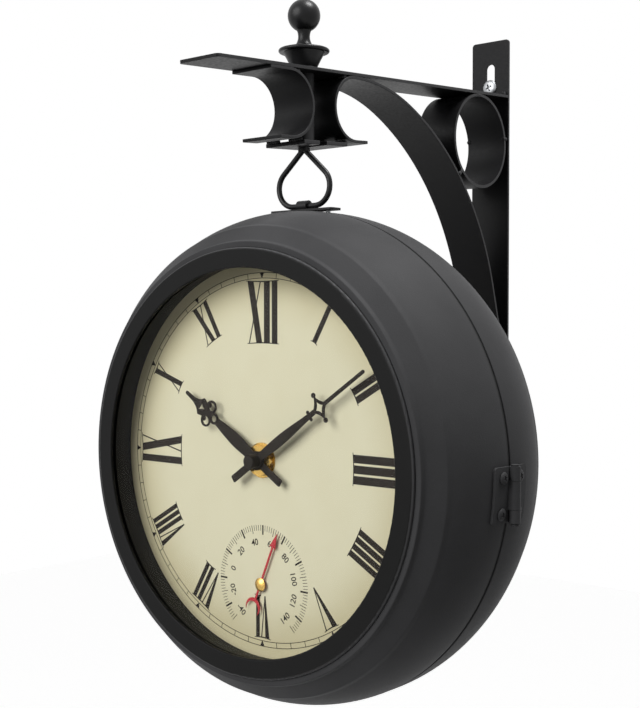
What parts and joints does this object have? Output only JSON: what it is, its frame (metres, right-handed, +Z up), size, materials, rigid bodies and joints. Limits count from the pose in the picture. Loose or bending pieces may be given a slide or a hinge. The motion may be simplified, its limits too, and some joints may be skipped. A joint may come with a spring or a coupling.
{
  "type": "double sided station clock",
  "caption": "Round double sided hanging clock with a thermometer in each dial, on a welded strap wall bracket with scrolls, a ring and a ball finial.",
  "frame": {"origin": "centre of the wall plate's back face, in the wall's plane", "axes": "+X to the right as one faces the wall, +Y out of the back face into the wall, +Z up; the clock hangs towards -Y"},
  "size_m": [0.2472, 0.2449, 0.3552],
  "materials": {
    "bracket_black": "satin",
    "finial_black": "satin",
    "loop_black": "satin",
    "case_black": "fine texture powder coat",
    "bezel_black": "satin",
    "steel": "zinc plated",
    "magnet": "nickel plated",
    "seal_rubber": "matte",
    "glass": "clear",
    "spacer_black": "matte",
    "dial_cream": "satin enamel",
    "movement_black": "moulded",
    "battery_label": "printed sleeve",
    "knob_grey": "moulded",
    "brass": "polished",
    "hand_black": "satin",
    "cup_steel": "pressed",
    "bimetal": "rolled strip",
    "pointer_red": "satin"
  },
  "bodies": {
    "bracket": {"wall_plate": "bracket_black", "top_bar": "bracket_black", "brace_strap": "bracket_black", "nose_strap": "bracket_black", "bracket_ring": "bracket_black", "lower_plate": "bracket_black", "pivot_sleeve": "bracket_black"},
    "hanger": {"pivot_washer": "steel", "finial_cup": "finial_black", "finial_ball": "finial_black", "swivel_rod": "loop_black", "hanging_loop": "loop_black"},
    "rear_half": {"rear_shell": "case_black", "hanger_tab": "loop_black", "tab_screws": "steel", "rear_hinge_leaf": "case_black", "hinge_pin": "case_black", "rear_hinge_screws": "case_black", "closing_magnet": "magnet", "case_seal": "seal_rubber", "rear_bezel": "bezel_black", "rear_glass_seal": "seal_rubber", "rear_glass": "glass", "rear_spacer_ring": "spacer_black", "rear_dial": "dial_cream", "rear_movement": "movement_black", "rear_battery": "battery_label", "rear_centre_nut": "brass", "rear_thermometer_cup": "cup_steel", "rear_bimetal_coil": "bimetal"},
    "front_half": {"front_shell": "case_black", "front_hinge_leaf": "case_black", "front_hinge_screws": "case_black", "magnet_strike": "steel", "front_bezel": "bezel_black", "front_glass_seal": "seal_rubber", "front_glass": "glass", "front_spacer_ring": "spacer_black", "front_dial": "dial_cream", "front_movement": "movement_black", "front_battery": "battery_label", "front_centre_nut": "brass", "front_thermometer_cup": "cup_steel", "front_bimetal_coil": "bimetal"},
    "front_minute": {"front_minute_hand": "hand_black", "front_minute_arbor": "steel", "front_hand_cap": "hand_black"},
    "front_hour": {"front_hour_hand": "hand_black"},
    "front_knob": {"front_setting_knob": "knob_grey"},
    "front_pointer": {"front_thermometer_pointer": "pointer_red", "front_pointer_cap": "brass"},
    "rear_minute": {"rear_minute_hand": "hand_black", "rear_minute_arbor": "steel", "rear_hand_cap": "hand_black"},
    "rear_hour": {"rear_hour_hand": "hand_black"},
    "rear_knob": {"rear_setting_knob": "knob_grey"},
    "rear_pointer": {"rear_thermometer_pointer": "pointer_red", "rear_pointer_cap": "brass"}
  },
  "joints": [
    {"name": "swivel", "type": "hinge", "parent": "bracket", "child": "hanger", "pos_m": [0, -0.172, 0.07608], "axis": [0, 0, 1], "continuous": true},
    {"name": "case_sway", "type": "hinge", "parent": "hanger", "child": "rear_half", "pos_m": [0, -0.172, 0.00946], "axis": [1, 0, 0], "range_deg": [-25, 25]},
    {"name": "case_hinge", "type": "hinge", "parent": "rear_half", "child": "front_half", "pos_m": [0.1238, -0.1753, -0.12249], "axis": [0, 0, 1], "range_deg": [0, 170]},
    {"name": "front_minute_turn", "type": "hinge", "parent": "front_half", "child": "front_minute", "pos_m": [0, -0.2073, -0.11434], "axis": [0, 1, 0], "continuous": true},
    {"name": "front_hour_turn", "type": "hinge", "parent": "front_half", "child": "front_hour", "pos_m": [0, -0.2062, -0.11434], "axis": [0, 1, 0], "continuous": true},
    {"name": "front_knob_turn", "type": "hinge", "parent": "front_half", "child": "front_knob", "pos_m": [0, -0.1861, -0.09834], "axis": [0, 1, 0], "continuous": true},
    {"name": "front_pointer_turn", "type": "hinge", "parent": "front_half", "child": "front_pointer", "pos_m": [0, -0.2037, -0.17434], "axis": [0, 1, 0], "range_deg": [-158, 112], "stiffness_Nm_per_rad": 0.0002},
    {"name": "rear_minute_turn", "type": "hinge", "parent": "rear_half", "child": "rear_minute", "pos_m": [0, -0.1367, -0.11434], "axis": [0, -1, 0], "continuous": true},
    {"name": "rear_hour_turn", "type": "hinge", "parent": "rear_half", "child": "rear_hour", "pos_m": [0, -0.1378, -0.11434], "axis": [0, -1, 0], "continuous": true},
    {"name": "rear_knob_turn", "type": "hinge", "parent": "rear_half", "child": "rear_knob", "pos_m": [0, -0.1579, -0.09834], "axis": [0, -1, 0], "continuous": true},
    {"name": "rear_pointer_turn", "type": "hinge", "parent": "rear_half", "child": "rear_pointer", "pos_m": [0, -0.1403, -0.17434], "axis": [0, -1, 0], "range_deg": [-158, 112], "stiffness_Nm_per_rad": 0.0002}
  ],
  "couplings": [
    {"joint": "front_hour_turn", "follows": "front_minute_turn", "ratio": 0.083333},
    {"joint": "front_knob_turn", "follows": "front_minute_turn", "ratio": -0.33333},
    {"joint": "rear_hour_turn", "follows": "rear_minute_turn", "ratio": 0.083333},
    {"joint": "rear_knob_turn", "follows": "rear_minute_turn", "ratio": -0.33333}
  ]
}
